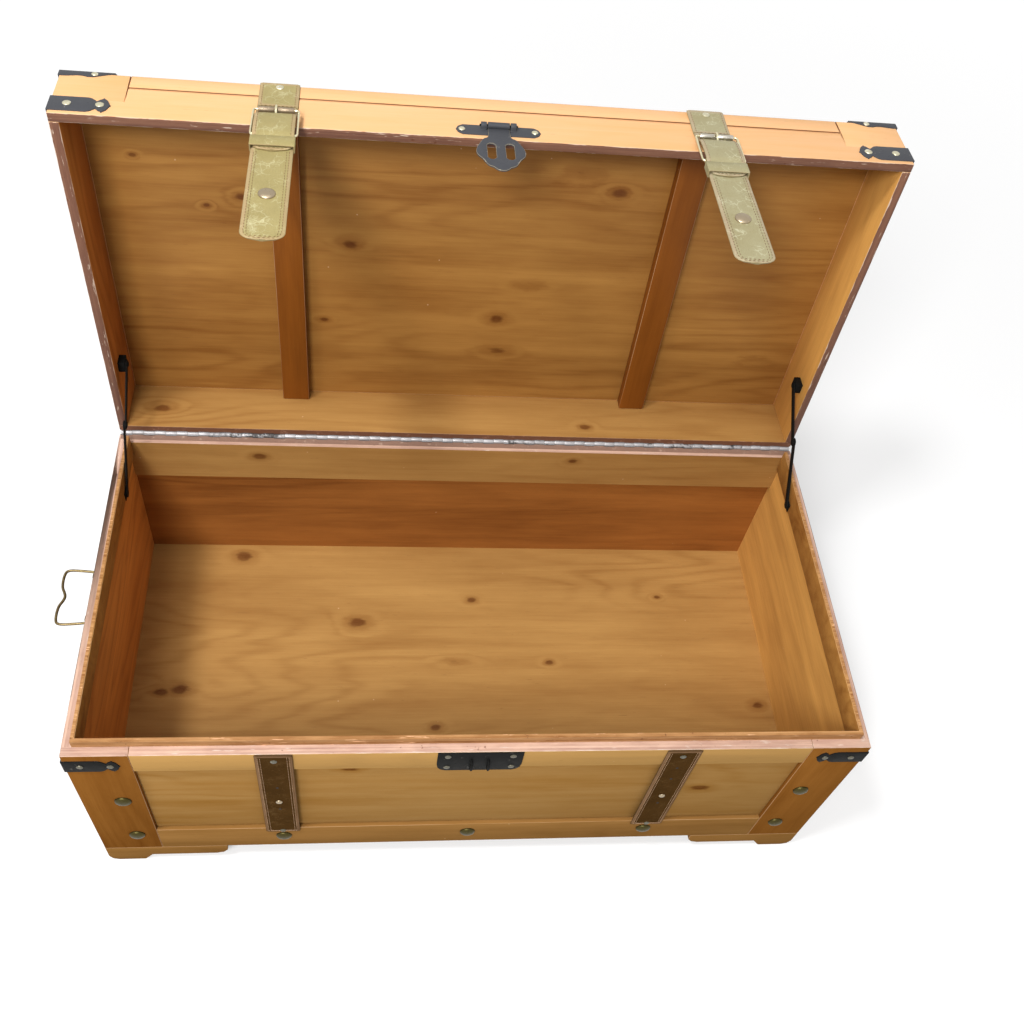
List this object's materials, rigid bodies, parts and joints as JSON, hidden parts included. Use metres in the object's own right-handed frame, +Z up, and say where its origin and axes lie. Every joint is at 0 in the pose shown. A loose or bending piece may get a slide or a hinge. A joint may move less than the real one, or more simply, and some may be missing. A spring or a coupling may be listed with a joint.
{
  "type": "blanket chest",
  "caption": "Low pine chest on bracket feet with a piano-hinged boxed lid, folding stays, slotted hasp, buckled leather straps and bail side handles.",
  "frame": {"origin": "on the floor under the middle of the carcass, between the four feet", "axes": "+X to the right seen from the front, +Y from the front to the back, +Z up; the lid stands open at rest"},
  "size_m": [0.9586, 0.5619, 0.7767],
  "materials": {
    "dark_pine": "dark stained, worn",
    "golden_pine": "stained and waxed",
    "stained_pine": "matt orange-brown stain",
    "pale_pine": "pale, worn wax",
    "lip_pine": "bare edge",
    "black_steel": "black, slightly worn",
    "worn_nail": "dark with bright wear",
    "dark_brass": "antiqued",
    "snap_brass": "dull",
    "khaki_leather": "crackled",
    "brown_leather": "dark, scuffed",
    "buckle_brass": "worn plate",
    "roller_steel": "worn bright",
    "hinge_steel": "dull plated",
    "handle_brass": "antiqued dark"
  },
  "bodies": {
    "base": {"front_stiles": "dark_pine", "front_top_rail": "golden_pine", "front_bottom_rail": "golden_pine", "front_panel": "golden_pine", "back_frame": "golden_pine", "back_panel": "stained_pine", "left_side_frame": "golden_pine", "left_side_panel": "stained_pine", "right_side_frame": "golden_pine", "right_side_panel": "stained_pine", "floor_board": "stained_pine", "dust_lip": "lip_pine", "back_inner_rail": "stained_pine", "corner_feet": "dark_pine", "base_corner_straps": "black_steel", "dome_studs": "dark_brass", "staple_plate": "black_steel", "left_base_strap": "brown_leather", "right_base_strap": "brown_leather", "snap_posts": "snap_brass", "base_nails": "worn_nail", "base_hinge_leaf": "hinge_steel", "hinge_pin": "hinge_steel", "stay_base_brackets": "black_steel", "left_handle_posts": "handle_brass", "right_handle_posts": "handle_brass"},
    "lid": {"lid_lower_rail": "pale_pine", "lid_front_stiles": "pale_pine", "lid_front_board": "pale_pine", "lid_upper_rail": "pale_pine", "lid_back_board": "stained_pine", "lid_left_end": "stained_pine", "lid_right_end": "stained_pine", "lid_top": "stained_pine", "lid_battens": "stained_pine", "lid_hinge_leaf": "hinge_steel", "lid_corner_straps": "black_steel", "lid_nails": "worn_nail", "hasp_plate": "black_steel", "hasp_pin": "black_steel", "left_lid_strap": "khaki_leather", "right_lid_strap": "khaki_leather", "stay_lid_brackets": "black_steel"},
    "flap": {"hasp_flap": "black_steel"},
    "left_buckled_end": {"left_strap_end": "khaki_leather", "left_strap_tail": "khaki_leather", "left_snap_cap": "snap_brass", "left_buckle": "buckle_brass"},
    "right_buckled_end": {"right_strap_end": "khaki_leather", "right_strap_tail": "khaki_leather", "right_snap_cap": "snap_brass", "right_buckle": "buckle_brass"},
    "left_buckle_roller": {"left_roller": "roller_steel"},
    "right_buckle_roller": {"right_roller": "roller_steel"},
    "left_stay_lower": {"left_lower_arm": "black_steel"},
    "right_stay_lower": {"right_lower_arm": "black_steel"},
    "left_stay_upper": {"left_upper_arm": "black_steel"},
    "right_stay_upper": {"right_upper_arm": "black_steel"},
    "left_handle": {"left_bail": "handle_brass"},
    "right_handle": {"right_bail": "handle_brass"}
  },
  "joints": [
    {"name": "lid_hinge", "type": "hinge", "parent": "base", "child": "lid", "pos_m": [0, 0.225, 0.31], "axis": [1, 0, 0], "range_deg": [0, 93]},
    {"name": "hasp_flap_hinge", "type": "hinge", "parent": "lid", "child": "flap", "pos_m": [-0.003, 0.26678, 0.76333], "axis": [-1, 0, 0], "range_deg": [0, 150]},
    {"name": "left_strap_lift", "type": "hinge", "parent": "lid", "child": "left_buckled_end", "pos_m": [-0.229, 0.28059, 0.75921], "axis": [-1, 0, 0], "range_deg": [0, 110]},
    {"name": "right_strap_lift", "type": "hinge", "parent": "lid", "child": "right_buckled_end", "pos_m": [0.229, 0.28059, 0.75921], "axis": [-1, 0, 0], "range_deg": [0, 110]},
    {"name": "left_roller_spin", "type": "hinge", "parent": "left_buckled_end", "child": "left_buckle_roller", "pos_m": [-0.229, 0.26595, 0.76648], "axis": [1, 0, 0], "continuous": true},
    {"name": "right_roller_spin", "type": "hinge", "parent": "right_buckled_end", "child": "right_buckle_roller", "pos_m": [0.229, 0.26595, 0.76648], "axis": [1, 0, 0], "continuous": true},
    {"name": "left_stay_base_pivot", "type": "hinge", "parent": "base", "child": "left_stay_lower", "pos_m": [-0.4322, 0.14, 0.292], "axis": [1, 0, 0], "range_deg": [0, 113.56]},
    {"name": "right_stay_base_pivot", "type": "hinge", "parent": "base", "child": "right_stay_lower", "pos_m": [0.4322, 0.14, 0.292], "axis": [1, 0, 0], "range_deg": [0, 113.56]},
    {"name": "left_stay_lid_pivot", "type": "hinge", "parent": "lid", "child": "left_stay_upper", "pos_m": [-0.4303, 0.25404, 0.40561], "axis": [1, 0, 0], "range_deg": [-113.28, 0]},
    {"name": "right_stay_lid_pivot", "type": "hinge", "parent": "lid", "child": "right_stay_upper", "pos_m": [0.4303, 0.25404, 0.40561], "axis": [1, 0, 0], "range_deg": [-113.28, 0]},
    {"name": "left_bail_swing", "type": "hinge", "parent": "base", "child": "left_handle", "pos_m": [-0.458, 0, 0.268], "axis": [0, -1, 0], "range_deg": [-60, 88]},
    {"name": "right_bail_swing", "type": "hinge", "parent": "base", "child": "right_handle", "pos_m": [0.458, 0, 0.268], "axis": [0, -1, 0], "range_deg": [-8, 150]}
  ],
  "couplings": [
    {"joint": "left_stay_base_pivot", "follows": "lid_hinge", "ratio": 1.2205},
    {"joint": "right_stay_base_pivot", "follows": "lid_hinge", "ratio": 1.2205},
    {"joint": "left_stay_lid_pivot", "follows": "lid_hinge", "ratio": -1.2175},
    {"joint": "right_stay_lid_pivot", "follows": "lid_hinge", "ratio": -1.2175}
  ]
}
